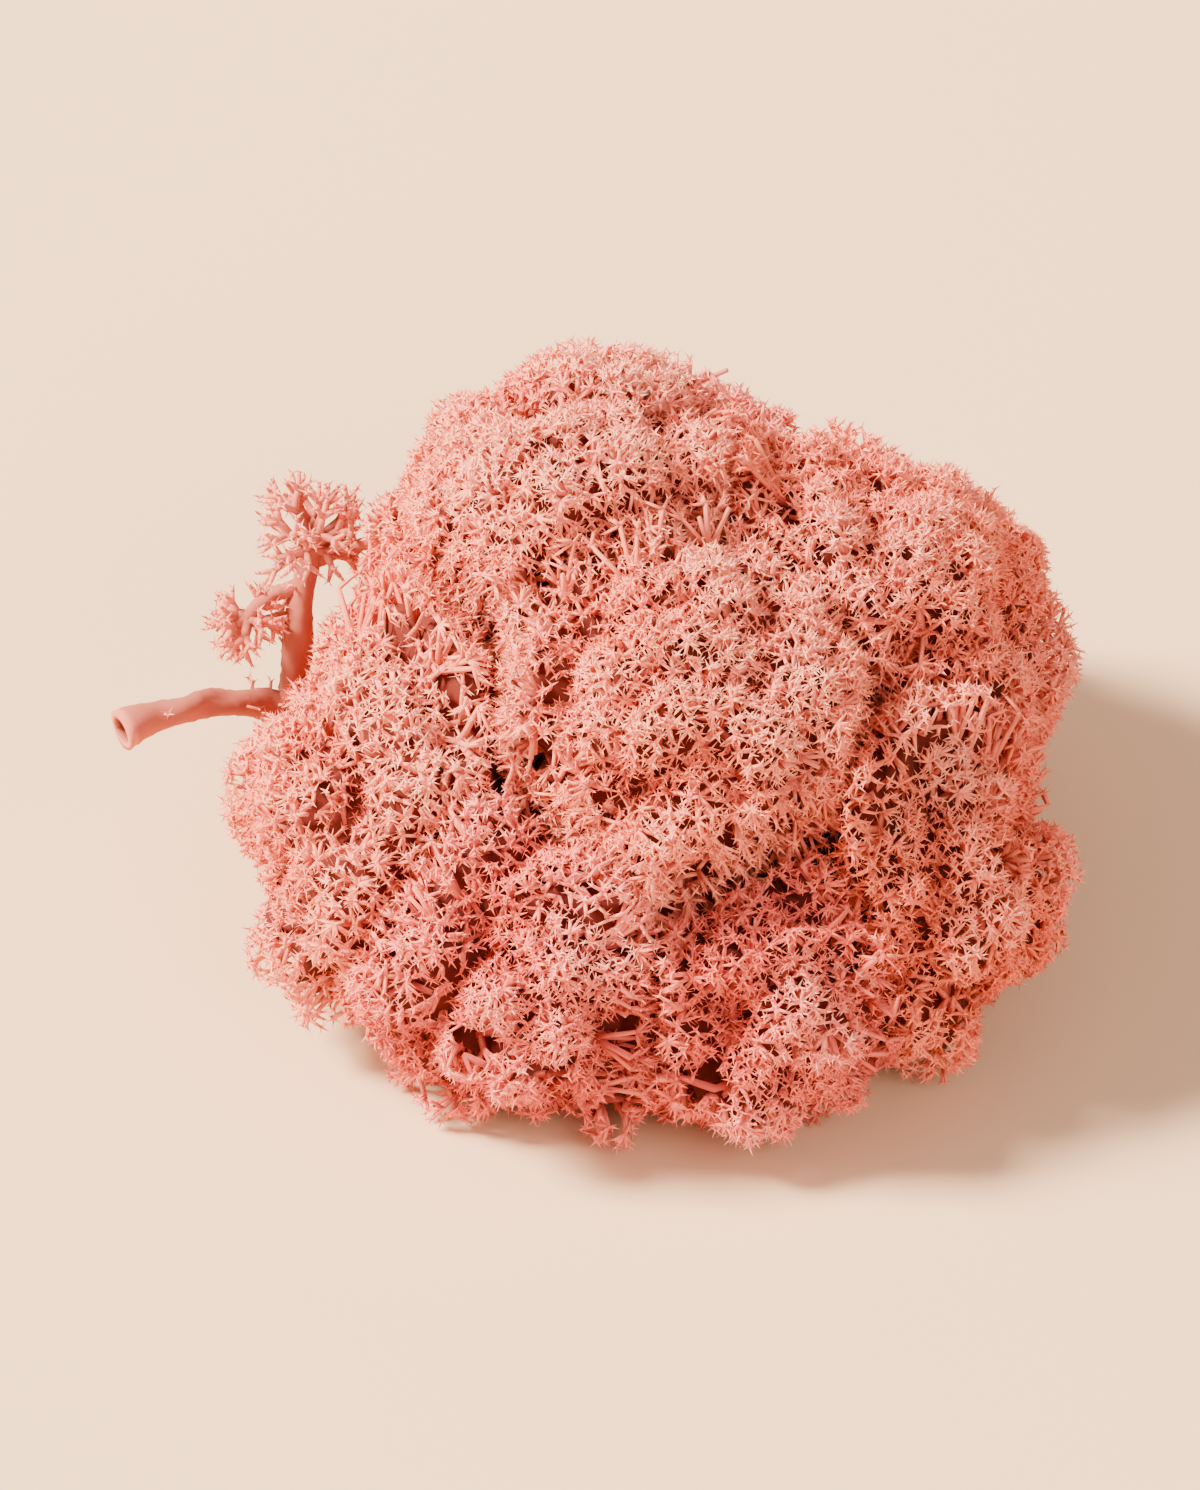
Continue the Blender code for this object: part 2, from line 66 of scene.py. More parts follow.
def make_camera():
    """Camera whose frame is VIEW_WIDTH across at the clump: lens = sensor x distance / height."""
    camera = bpy.data.objects.new("camera", bpy.data.cameras.new("camera"))
    bpy.context.scene.collection.objects.link(camera)
    outward = Vector((0, -math.cos(VIEW_ELEVATION), math.sin(VIEW_ELEVATION)))
    camera.location = VIEW_TARGET + outward * VIEW_DISTANCE
    camera.rotation_euler = (-outward).to_track_quat("-Z", "Y").to_euler()
    view_height = VIEW_WIDTH * IMAGE_HEIGHT / IMAGE_WIDTH
    camera.data.sensor_width = SENSOR
    camera.data.lens = SENSOR * VIEW_DISTANCE / view_height
    camera.data.clip_start = 0.05
    camera.data.clip_end = 20
    return camera


camera = make_camera()
bpy.context.scene.camera = camera
print("lens, mm:", round(camera.data.lens))

# %% Floor, light and room
FLOOR_SIDE = 4.0
FLOOR_COLOUR = (0.89, 0.58, 0.34, 1)
ROOM_COLOUR = (1.0, 0.93, 0.86, 1)
ROOM_STRENGTH = 0.55


def plain_material(name, colour, roughness):
    material = bpy.data.materials.new(name)
    material.use_nodes = True
    shader = material.node_tree.nodes["Principled BSDF"]
    shader.inputs["Base Color"].default_value = colour
    shader.inputs["Roughness"].default_value = roughness
    return material


def make_floor():
    bpy.ops.mesh.primitive_plane_add(size=FLOOR_SIDE)
    floor = bpy.context.object
    floor.name = "floor"
    floor.data.materials.append(plain_material("pale_floor", FLOOR_COLOUR, 0.7))


def soft_light(name, place, side, power, colour):
    """Square lamp at a place in metres that faces the clump."""
    lamp = bpy.data.lights.new(name, "AREA")
    lamp.shape = "SQUARE"
    lamp.size = side
    lamp.energy = power
    lamp.color = colour
    holder = bpy.data.objects.new(name, lamp)
    bpy.context.scene.collection.objects.link(holder)
    holder.location = place
    holder.rotation_euler = (VIEW_TARGET - Vector(place)).to_track_quat("-Z", "Y").to_euler()


def make_room():
    world = bpy.data.worlds.new("pale_room")
    world.use_nodes = True
    background = world.node_tree.nodes["Background"]
    background.inputs["Color"].default_value = ROOM_COLOUR
    background.inputs["Strength"].default_value = ROOM_STRENGTH
    bpy.context.scene.world = world


make_floor()
make_room()
soft_light("window_light", (-1.2, 0.1, 1.15), 0.45, 142, (1.0, 0.89, 0.78))
soft_light("fill_light", (0.9, -1.3, 1.1), 1.2, 24, (1.0, 0.90, 0.86))

# %% [markdown]
# ## Sizes of each podetium
# The same centres, half widths and feet as in the imported solids, and three looks of each crown's own.
# Openness is how wide the windows of its net are: the crest is closed like felt, and the front is a
# net. Dye runs from 0, washed out, to 1, soaked. The crest on top has the least and the crowns low
# down and at the back the most, so the clump is darker towards the bottom. The slot is the imported
# model's material.

# %% Podetia, in millimetres
SEED = 4817
GOLDEN_ANGLE = math.pi * (3 - math.sqrt(5))


class Podetium(NamedTuple):
    centre: tuple
    half_widths: tuple
    foot: tuple
    underside: float
    lobes: int
    windows: int
    openness: float
    dye: float
    slot: str


PODETIA = {
    "crown_crest": Podetium(
        (-1.0, 6.2, 19.6), (12.8, 13.3, 14.9), (-2.2, 5.4), -0.35, 20, 4, 0.35, 0.10, "pale_coral_moss"),
    "crown_right": Podetium(
        (12.9, 4.2, 14.8), (13.9, 13.4, 13.4), (12.8, 4.4), -0.35, 18, 4, 0.60, 0.26, "coral_moss"),
    "crown_front": Podetium(
        (4.4, -5.1, 14.8), (15.2, 14.6, 14.2), (4.4, -4.6), -0.7, 18, 10, 1.00, 0.24, "pale_coral_moss"),
    "crown_left": Podetium(
        (-10.0, -3.9, 9.6), (12.4, 12.9, 12.2), (-9.4, -3.6), -0.8, 16, 4, 0.45, 0.25, "pale_coral_moss"),
    "crown_low_right": Podetium(
        (15.6, -7.3, 8.2), (11.4, 11.8, 10.8), (15.3, -6.6), -0.8, 14, 4, 0.80, 0.50, "coral_moss"),
    "crown_fringe": Podetium(
        (-3.6, -12.7, 6.9), (12.4, 10.7, 9.4), (-3.4, -12.6), -0.9, 13, 6, 1.00, 0.45, "rose_moss"),
    "crown_fringe_right": Podetium(
        (8.6, -13.2, 6.2), (11.3, 10.2, 8.7), (8.6, -12.6), -0.9, 10, 4, 0.90, 0.50, "rose_moss"),
    "crown_back": Podetium(
        (3.5, 12.9, 12), (15, 11.8, 13.2), (4.6, 13.4), -0.5, 18, 4, 0.60, 0.35, "rose_moss"),
    "crown_back_right": Podetium(
        (15.6, 13.4, 8.7), (11.3, 10.8, 10.8), (16.2, 13.0), -0.8, 12, 3, 0.70, 0.55, "coral_moss"),
}
SPRIG_NAME = "forked_sprig"
SPRIG_CENTRE = (-19.4, 8.4, 14)
SPRIG_HALF_WIDTHS = (6, 6, 9)
print("podetia:", len(PODETIA) + 1)

# %% [markdown]
# ## Rooms
# Podetia press against each other, so each keeps to a room with flat walls. A wall stands square to
# the line between two crowns, nearer the smaller one. Branches are kept inside their room, which is
# convex, so no two podetia run into each other; only the points of the stars, and the sprig's two
# leaning twigs, reach a little way over a wall.

# %% Walls of a room
PODETIUM_GAP = 0.3 * MM
PLANE_TILT_SHARE = 0.3


def unit(vectors):
    return vectors / np.linalg.norm(vectors, axis=-1, keepdims=True)


def room_centres():
    rooms = {name: (p.centre, p.half_widths) for name, p in PODETIA.items()}
    rooms[SPRIG_NAME] = (SPRIG_CENTRE, SPRIG_HALF_WIDTHS)
    return {name: (np.array(c) * MM, np.mean(h) * MM) for name, (c, h) in rooms.items()}


def room_walls(name):
    """Outward normals and limits, with the resting surface first: inside means normal . p <= limit."""
    rooms = room_centres()
    centre, radius = rooms[name]
    normals, limits = [(0, 0, -1)], [0.0]
    for other, (other_centre, other_radius) in rooms.items():
        if other == name:
            continue
        line = other_centre - centre
        share = 0.5 + (radius ** 2 - other_radius ** 2) / (2 * line @ line)
        normal = unit(line * (1, 1, PLANE_TILT_SHARE))
        normals.append(normal)
        limits.append(normal @ (centre + share * line) - PODETIUM_GAP / 2)
    return np.array(normals), np.array(limits)


def nearest_wall(origin, directions, room):
    """How far each direction runs from origin before it meets a wall, and which wall that is."""
    normals, limits = room
    approach = directions @ normals.T
    ahead = limits - normals @ origin
    runs = np.where(approach > 1e-6, ahead / np.maximum(approach, 1e-6), np.inf)
    return runs.min(axis=1), runs.argmin(axis=1)


def kept_inside(points, room, margin):
    """Points moved straight back to the inner side of every wall, by at least the margin."""
    normals, limits = room
    moved = points.copy()
    for normal, limit in zip(normals, limits):
        over = np.clip(moved @ normal - (limit - margin), 0, None)
        moved -= over[..., None] * normal
    return moved


ROOMS = {name: room_walls(name) for name in [*PODETIA, SPRIG_NAME]}
print("walls of a room:", len(ROOMS["crown_front"][1]))

# %% [markdown]
# ## Crown outline
# A crown is an ellipsoid raised into round lobes, like a cauliflower. Lobes come from directions
# spread by the golden angle, which covers a ball evenly with no rows to be seen. The random draws
# are made in the same order as for the solids, so the lobes and the large windows fall together.

# %% Lobes, windows and reach
LOBE_HALF_ANGLE = math.radians(28)
LOBE_RELIEF = 0.2
LOBE_SCATTER = 0.09
UNDERSIDE_THINNING = 0.35
UNDERSIDE_SHRINK = 0.5
CROWDING_FALL = 5.0
CROWDING_LIMIT = 0.9
CROWDING_STEPS = 6


def even_directions(count, turn):
    """Directions on a golden-angle spiral, closer together above than below."""
    step = (np.arange(count) + 0.5) / count
    height = 1 - 2 * step * (1 + UNDERSIDE_THINNING * step) / (1 + UNDERSIDE_THINNING)
    angle = np.arange(count) * GOLDEN_ANGLE + turn
    across = np.sqrt(1 - height ** 2)
    return np.stack([across * np.cos(angle), across * np.sin(angle), height], axis=1)


def scattered(directions, amount, rng):
    return unit(directions + rng.normal(size=directions.shape) * amount)


def nearest_angle(directions, others):
    return np.arccos(np.clip(directions @ others.T, -1, 1)).min(axis=1)


def window_centres(count, rng):
    """Windows on the flanks of a crown, spread evenly and clear of its top."""
    turn = rng.uniform(0, 2 * math.pi)
    angle = np.arange(count) * GOLDEN_ANGLE + turn
    height = np.linspace(0.62, -0.3, count) + rng.uniform(-0.06, 0.06, count)
    across = np.sqrt(1 - height ** 2)
    return np.stack([across * np.cos(angle), across * np.sin(angle), height], axis=1)


def free_reach(directions, name):
    """Distance from centre to tips with no neighbours.

    An ellipsoid's radius, lowered between the lobes by a half circle's profile across each lobe,
    and drawn in under the crown along a smooth step.
    """
    podetium = PODETIA[name]
    ellipsoid = 1 / np.linalg.norm(directions / (np.array(podetium.half_widths) * MM), axis=1)
    across_lobe = nearest_angle(directions, LOBES[name]) / LOBE_HALF_ANGLE
    lift = np.sqrt(np.clip(1 - across_lobe ** 2, 0, None))
    below = np.clip((podetium.underside - directions[:, 2]) / (1 + podetium.underside), 0, 1)
    drawn_in = 1 - UNDERSIDE_SHRINK * below * below * (3 - 2 * below)
    return ellipsoid * (1 - LOBE_RELIEF * (1 - lift)) * drawn_in


def crowding(points, name):
    """How hard the other crowns press at each point, from 0 to about 1.

    Each gives exp(-CROWDING_FALL (size - 1)), where size is 1 on its ellipsoid and 2 on twice it.
    """
    press = np.zeros(len(points))
    for other, podetium in PODETIA.items():
        if other != name:
            offset = (points - np.array(podetium.centre) * MM) / (np.array(podetium.half_widths) * MM)
            press += np.exp(-CROWDING_FALL * (np.linalg.norm(offset, axis=1) - 1))
    return press


def crowded_reach(directions, name):
    """Free reach pushed out where other crowns press, so that the creases between them fill up."""
    centre = np.array(PODETIA[name].centre) * MM
    free = free_reach(directions, name)
    reach = free
    for _ in range(CROWDING_STEPS):
        press = crowding(centre + directions * reach[:, None], name)
        reach = free * (1 - np.log(1 - np.minimum(press, CROWDING_LIMIT)) / CROWDING_FALL)
    return reach


LOBES, WINDOWS = {}, {}
for order, (name, podetium) in enumerate(PODETIA.items(), start=1):
    rng = np.random.default_rng(SEED + order)
    first_turn = rng.uniform(0, 2 * math.pi)
    LOBES[name] = scattered(even_directions(podetium.lobes, first_turn), LOBE_SCATTER, rng)
    WINDOWS[name] = window_centres(podetium.windows, rng)
print("lobes:", sum(len(lobes) for lobes in LOBES.values()))

# %% [markdown]
# ## Forks
# Real forks split in twos and threes, each finer and closer to the surface than the last. It could be
# grown step by step from the stem, but then the tips would not fill the dome. Here each level is an
# even layer of fork points at its own depth, and every point grows from the nearest one a level down.
# Layers three times as dense as the one before give a fork of about three.
# Twigs round one bough share a small dome of their own, which gives the crown its fine lobes.

# %% Levels of forks


class Level(NamedTuple):
    """One layer: spacing and depth under the surface, branch radii at root and end, and fineness."""
    spacing: float
    depth: float
    root_radius: float
    end_radius: float
    rings: int
    sides: int
    window_share: float
    age: float


LIMBS = Level(8.0, 7.6, 0.80, 0.52, 4, 6, 0.0, 0.80)
BOUGHS = Level(4.6, 4.6, 0.50, 0.32, 4, 5, 0.35, 0.60)
BRANCHES = Level(2.6, 2.5, 0.32, 0.21, 3, 4, 0.7, 0.42)
TWIGS = Level(1.35, 1.0, 0.20, 0.14, 2, 4, 0.95, 0.24)
TIPS = Level(0.715, 0.30, 0.13, 0.095, 2, 4, 1.0, 0.08)
LEVELS = (LIMBS, BOUGHS, BRANCHES, TWIGS, TIPS)

SCATTER_OF_SPACING = 0.2
DEPTH_UNEVENNESS = 0.3
BOUGH_RELIEF, BOUGH_HALF_WIDTH = 1.15 * MM, 2.5 * MM
KNOB_RELIEF, KNOB_HALF_WIDTH = 0.45 * MM, 1.4 * MM
BURIED_DEPTH = {BRANCHES: 2.2 * MM, TWIGS: 2.0 * MM, TIPS: 1.75 * MM}
DENSEST = {BRANCHES: 1.6, TWIGS: 2.0, TIPS: 2.0}
EVEN_STEP = 0.7548776662
DEEPEST_SHARE = 0.75
# Painted crease shade: full at this drop under a small dome, the share of it from lying off a lobe, and its
# least at a wall.
DEEPEST_DROP = 1.8 * MM
LOBE_SHARE = 0.55
WALL_CREASE_SHADE = 0.5
ON_FLOOR_KEPT = 0.1
FREE = -1
LACING = {TIPS: 0.5 * MM}
UNDERSIDE_START, UNDERSIDE_END = -0.4, -0.85
UNDERSIDE_KEPT = 0.3
SMALL_WINDOW_SPACING = 3.4 * MM
SMALL_WINDOW_RADII = (0.25 * MM, 1.0 * MM)
LARGE_WINDOW_RADIUS = 1.5 * MM


def pushed_off(directions, centres, angles):
    """Directions moved off each window: an angle a from its centre becomes root(a^2 + window^2)."""
    for centre, window in zip(centres, angles):
        along = directions @ centre
        angle = np.arccos(np.clip(along, -1, 1))
        near = angle < 5 * window
        across = directions[near] - along[near, None] * centre
        across /= np.maximum(np.linalg.norm(across, axis=1, keepdims=True), 1e-9)
        wider = np.sqrt(angle[near] ** 2 + window ** 2)
        directions[near] = np.cos(wider)[:, None] * centre + np.sin(wider)[:, None] * across
    return directions


def cover_of(points, walls, name):
    """How deep each point on a wall lies under the crown behind that wall; 0 where it lies bare."""
    behind = [None] + [other for other in [*PODETIA, SPRIG_NAME] if other != name]
    cover = np.zeros(len(points))
    for wall, other in enumerate(behind):
        if other in PODETIA:
            there = walls == wall
            from_centre = points[there] - np.array(PODETIA[other].centre) * MM
            distance = np.linalg.norm(from_centre, axis=1)
            cover[there] = free_reach(from_centre / distance[:, None], other) - distance
    return np.clip(cover, 0, None)


def all_windows(name, radius, rng):
    """Large windows of the crown and the many small ones of its net, as centres and radii."""
    podetium = PODETIA[name]
    count = int(4 * math.pi * radius ** 2 / SMALL_WINDOW_SPACING ** 2)
    small = scattered(even_directions(count, rng.uniform(0, 2 * math.pi)), 0.1, rng)
    lowest, highest = SMALL_WINDOW_RADII
    flank = np.clip(1.25 - small[:, 2], 0.3, 1) * podetium.openness
    small_radii = (lowest + (highest - lowest) * rng.random(count) ** 2) * flank
    centres = np.concatenate([WINDOWS[name], small])
    large_radii = np.full(podetium.windows, LARGE_WINDOW_RADIUS * math.sqrt(podetium.openness))
    return centres, np.concatenate([large_radii, small_radii])


def share_seen(directions, wall, surface, room):
    """How many of the points are needed: fewer under the crown, more where the outline lies aslant.

    A patch of outline has distance^2 / cos(slant) of area for each bit of direction.
    """
    share = (UNDERSIDE_START - directions[:, 2]) / (UNDERSIDE_START - UNDERSIDE_END)
    seen = 1 - (1 - UNDERSIDE_KEPT) * np.clip(share, 0, 1)
    slant = np.where(wall > 0, (directions * room[0][wall]).sum(axis=1), 1)
    seen = np.where(wall == 0, ON_FLOOR_KEPT, seen)
    return seen * (surface / np.median(surface)) ** 2 / np.maximum(slant, 0.3)


def dome_drop(directions, domes, radius):
    """Depth under the tops of the small domes: relief x (distance from the dome's middle / half width)^2."""
    drop = np.zeros(len(directions))
    for middles, relief, half_width in domes:
        off_middle = nearest_angle(directions, middles) * radius / half_width
        drop += relief * np.clip(off_middle, 0, 1.3) ** 2
    return drop


def crease_shade_share(directions, name, drop, wall):
    """Painted shade: 0 on the tops of lobes and small domes, up to 1 in the creases between them and at a
    wall.
    """
    off_lobe = np.clip(nearest_angle(directions, LOBES[name]) / LOBE_HALF_ANGLE, 0, 1)
    share = LOBE_SHARE * off_lobe ** 2 + (1 - LOBE_SHARE) * np.clip(drop / DEEPEST_DROP, 0, 1)
    return np.maximum(share, np.where(wall > 0, WALL_CREASE_SHADE, 0))


def nearest_of(points, others):
    """Index of the nearest other point: the largest of p.q - |q|^2 / 2."""
    return (points @ others.T - 0.5 * (others ** 2).sum(axis=1)).argmax(axis=1)


def grow_levels(name, rng):
    """Fork points of every level, with each point's parent in the level before it and its share of painted
    crease shade.

    A point lies at its level's depth, measured towards the centre, or square to the wall of the room
    where the crown ends at one.
    """
    podetium = PODETIA[name]
    centre = np.array(podetium.centre) * MM
    radius = np.mean(podetium.half_widths) * MM
    windows, window_radii = all_windows(name, radius, rng)
    room = ROOMS[name]
    grown, domes = [], []
    for level in LEVELS:
        densest = DENSEST.get(level, 1)
        count = int(densest * 4 * math.pi * radius ** 2 / (0.866 * (level.spacing * MM) ** 2))
        directions = even_directions(count, rng.uniform(0, 2 * math.pi))
        directions = scattered(directions, SCATTER_OF_SPACING * level.spacing * MM / radius, rng)
        directions = pushed_off(directions, windows, level.window_share * window_radii / radius)
        outline = crowded_reach(directions, name)
        run, wall = nearest_wall(centre, directions, room)
        wall = np.where(run < outline, wall, FREE)
        if level in DENSEST:
            seen = share_seen(directions, wall, np.minimum(outline, run), room)
            kept = np.arange(count) * EVEN_STEP % 1 < seen / densest
            directions, outline, run, wall = directions[kept], outline[kept], run[kept], wall[kept]
        across = LACING[level] * rng.normal(size=len(directions)) if level in LACING else 0
        drop = dome_drop(directions, domes, radius)
        surface = np.minimum(outline - drop, run + across)
        depth = level.depth * MM * (1 + DEPTH_UNEVENNESS * rng.normal(size=len(directions)))
        inward = np.where((wall > 0)[:, None], room[0][wall], directions)
        room_for = surface * (directions * inward).sum(axis=1) * DEEPEST_SHARE
        points = centre + directions * surface[:, None] - inward * np.minimum(depth, room_for)[:, None]
        if level in BURIED_DEPTH:
            kept = cover_of(points, wall, name) < BURIED_DEPTH[level]
            directions, points, drop, wall = directions[kept], points[kept], drop[kept], wall[kept]
        parents = nearest_of(points, grown[-1][0]) if grown else np.zeros(len(points), int)
        grown.append((points, parents, crease_shade_share(directions, name, drop, wall)))
        if level is BOUGHS:
            domes.append((directions, BOUGH_RELIEF, BOUGH_HALF_WIDTH))
        if level is BRANCHES:
            domes.append((directions, KNOB_RELIEF, KNOB_HALF_WIDTH))
    return grown


trial = grow_levels("crown_front", np.random.default_rng(SEED))
print("fork points of the front crown:", [len(points) for points, parents, crease_shades in trial])

# %% [markdown]
# ## Branches as surfaces
# A branch is a round profile carried along a curved path, and a tip is a short square branch that
# opens into a star of four points round a small cup, which is how this lichen ends. All the branches
# of a level are worked out together, as one array of rings.

# %% Rings and tubes


class Growth:
    """Vertices, faces, age and dye of one podetium, gathered before they become a mesh."""

    def __init__(self):
        self.vertices, self.faces, self.ages, self.dyes = [], [], [], []
        self.count = 0

    def add(self, vertices, faces, ages, dyes):
        for block in faces:
            self.faces.extend((block + self.count).tolist())
        self.vertices.append(vertices)
        self.ages.append(ages)
        self.dyes.append(dyes)
        self.count += len(vertices)


def any_side(axes):
    """A unit vector square to each axis."""
    upright = np.abs(axes[..., 2:3]) > 0.8
    away = np.where(upright, np.array([1.0, 0, 0]), np.array([0, 0, 1.0]))
    return unit(np.cross(axes, away))


def circles(centres, runs, radii, sides):
    """Rings of vertices square to each run: centre + radius (cos t side + sin t up).

    Lines come as (lines, rings, 3), and all the rings of a line share one side, so none twists.
    """
    first = any_side(unit(centres[:, -1] - centres[:, 0]))[:, None]
    side = unit(first - (first * runs).sum(axis=-1, keepdims=True) * runs)
    up = np.cross(runs, side)
    turn = np.arange(sides) * 2 * math.pi / sides
    circle = np.cos(turn)[:, None] * side[:, :, None] + np.sin(turn)[:, None] * up[:, :, None]
    return centres[:, :, None] + circle * radii.reshape(*radii.shape[:2], -1, 1)


def tube_faces(tubes, rings, sides):
    """Quads between rings and one face over each end, for many tubes."""
    first = np.arange(tubes)[:, None, None] * rings * sides
    ring = np.arange(rings - 1)[None, :, None] * sides
    corner = np.arange(sides)[None, None, :]
    here, after = first + ring + corner, first + ring + (corner + 1) % sides
    quads = np.stack([here, after, after + sides, here + sides], axis=-1).reshape(-1, 4)
    starts = (first + corner[..., ::-1]).reshape(-1, sides)
    ends = (first + (rings - 1) * sides + corner).reshape(-1, sides)
    return [quads, starts, ends]


def add_tubes(growth, lines, radii, sides, ages, dyes):
    """Closed tubes along many lines; ages run from root to end and a dye holds for a tube."""
    tubes, rings = lines.shape[:2]
    runs = unit(np.gradient(lines, axis=1))
    vertices = circles(lines, runs, radii, sides).reshape(-1, 3)
    growth.add(vertices, tube_faces(tubes, rings, sides),
               np.repeat(ages.reshape(-1), sides), np.repeat(dyes, rings * sides))


# %% Star tips
STAR_POINTS = 4
STAR_LEAN = math.radians(64)
STAR_LENGTH = 0.52 * MM
STAR_CUP_DEPTH = 0.05 * MM
STAR_AGES = (TWIGS.age, TIPS.age, 0.0, 0.16)
LACED_OVER = 0.9 * MM


def star_faces(count):
    """Faces of many star tips, each of a root ring, a mouth ring, the points and the cup's middle.

    Each side of the mouth carries one point: a triangle under it and two over it, down to the cup.
    """
    corner = np.arange(STAR_POINTS)
    root, root_after = corner, (corner + 1) % STAR_POINTS
    mouth, mouth_after = root + STAR_POINTS, root_after + STAR_POINTS
    point, cup = corner + 2 * STAR_POINTS, np.full(STAR_POINTS, 3 * STAR_POINTS)
    sides = np.stack([root, root_after, mouth_after, mouth], axis=-1)
    under = np.stack([mouth, mouth_after, point], axis=-1)
    over = np.concatenate([np.stack([mouth, point, cup], axis=-1),
                           np.stack([point, mouth_after, cup], axis=-1)])
    base = corner[None, ::-1]
    first = (np.arange(count) * (3 * STAR_POINTS + 1))[:, None, None]
    return [(first + block).reshape(-1, block.shape[-1]) for block in (sides, under, over, base)]


def add_stars(growth, starts, ends, dyes, room, rng, older=0.0):
    """Short branches from starts to ends that open into stars; each point leans out from the run.

    Older is what each whole star adds to its ages; the crowns put their painted crease shade in it, which
    darkens the stars in the creases.
    """
    count = len(ends)
    runs = unit(ends - starts)
    radii = np.tile([TIPS.root_radius * MM, TIPS.end_radius * MM], (count, 1))
    rings = circles(np.stack([starts, ends], axis=1), np.stack([runs, runs], axis=1), radii, STAR_POINTS)
    mouth = rings[:, 1]
    outward = unit(mouth + np.roll(mouth, -1, axis=1) - 2 * ends[:, None])
    lean = STAR_LEAN * (1 + 0.22 * rng.normal(size=(count, STAR_POINTS, 1)))
    length = STAR_LENGTH * rng.uniform(0.6, 1.25, (count, STAR_POINTS, 1))
    way = np.cos(lean) * runs[:, None] + np.sin(lean) * outward
    way = unit(way + 0.15 * rng.normal(size=way.shape))
    points = ends[:, None] + way * length
    cup = (ends - runs * STAR_CUP_DEPTH)[:, None]
    vertices = np.concatenate([rings[:, 0], mouth, points, cup], axis=1)
    vertices = kept_inside(vertices, room, -LACED_OVER)
    vertices[..., 2] = np.maximum(vertices[..., 2], 0)
    vertices = vertices.reshape(-1, 3)
    ages = np.repeat(STAR_AGES, (STAR_POINTS, STAR_POINTS, STAR_POINTS, 1))
    all_ages = ages + np.zeros((count, 1)) + np.reshape(older, (-1, 1))
    growth.add(vertices, star_faces(count), all_ages.reshape(-1), np.repeat(dyes, len(ages)))


print("triangles in a star tip:", 2 * STAR_POINTS + (STAR_POINTS - 2) + 3 * STAR_POINTS)

# %% [markdown]
# ## Dye over the clump
# The dye took unevenly: some lobes are pinker and paler, some almost orange. A sum of slow waves in
# space gives soft patches about as large as a lobe, and every branch adds a little of its own. The
# crowns add painted crease shade on top of this: more dye in the creases, less on the lobe tops.

# %% Dye of each branch
PATCH_WAVES = 5
PATCH_LENGTH = 14 * MM
PATCH_STRENGTH = 0.36
OWN_STRENGTH = 0.12


def patchiness(points):
    """Mean of sine waves in random directions, from about -1 to 1."""
    rng = np.random.default_rng(SEED)
    directions = unit(rng.normal(size=(PATCH_WAVES, 3)))
    lengths = PATCH_LENGTH * rng.uniform(0.6, 1.6, PATCH_WAVES)
    phases = rng.uniform(0, 2 * math.pi, PATCH_WAVES)
    waves = np.sin(points @ directions.T * 2 * math.pi / lengths + phases)
    return waves.mean(axis=1) * 1.6


def dye_of(points, dye, rng):
    own = OWN_STRENGTH * rng.normal(size=len(points))
    return np.clip(dye + PATCH_STRENGTH * patchiness(points) + own, 0.02, 0.98)


# %% [markdown]
# ## Dark heart
# Under the live tips the old branches of a real crown are brown and too dense to see into. Growing
# them all would take millions of faces for what shows only as darkness behind the windows. A rough
# closed body in the old colour stands in for that tangle, well under the tips, so light stops where
# it does in the real one and the floor never shows through. Its near-black colour is partly the brown
# of old branches and partly painted shade, the darkness deep inside the tangle.

# %% Dark heart of a crown
HEART_DEPTH = 2.8 * MM
HEART_WALL_GAP = 0.8 * MM
HEART_ROWS, HEART_COLUMNS = 28, 50
HEART_ROUGHNESS = 0.5 * MM
HEART_PIT_DEPTH = 3.0 * MM
HEART_PIT_ANGLE = 0.2
# The heart's ages and dye make it near black: old wood and painted shade of the dense tangle.
HEART_SHADE_AGES = (0.97, 1.0)
HEART_SHADE_DYE = 0.95


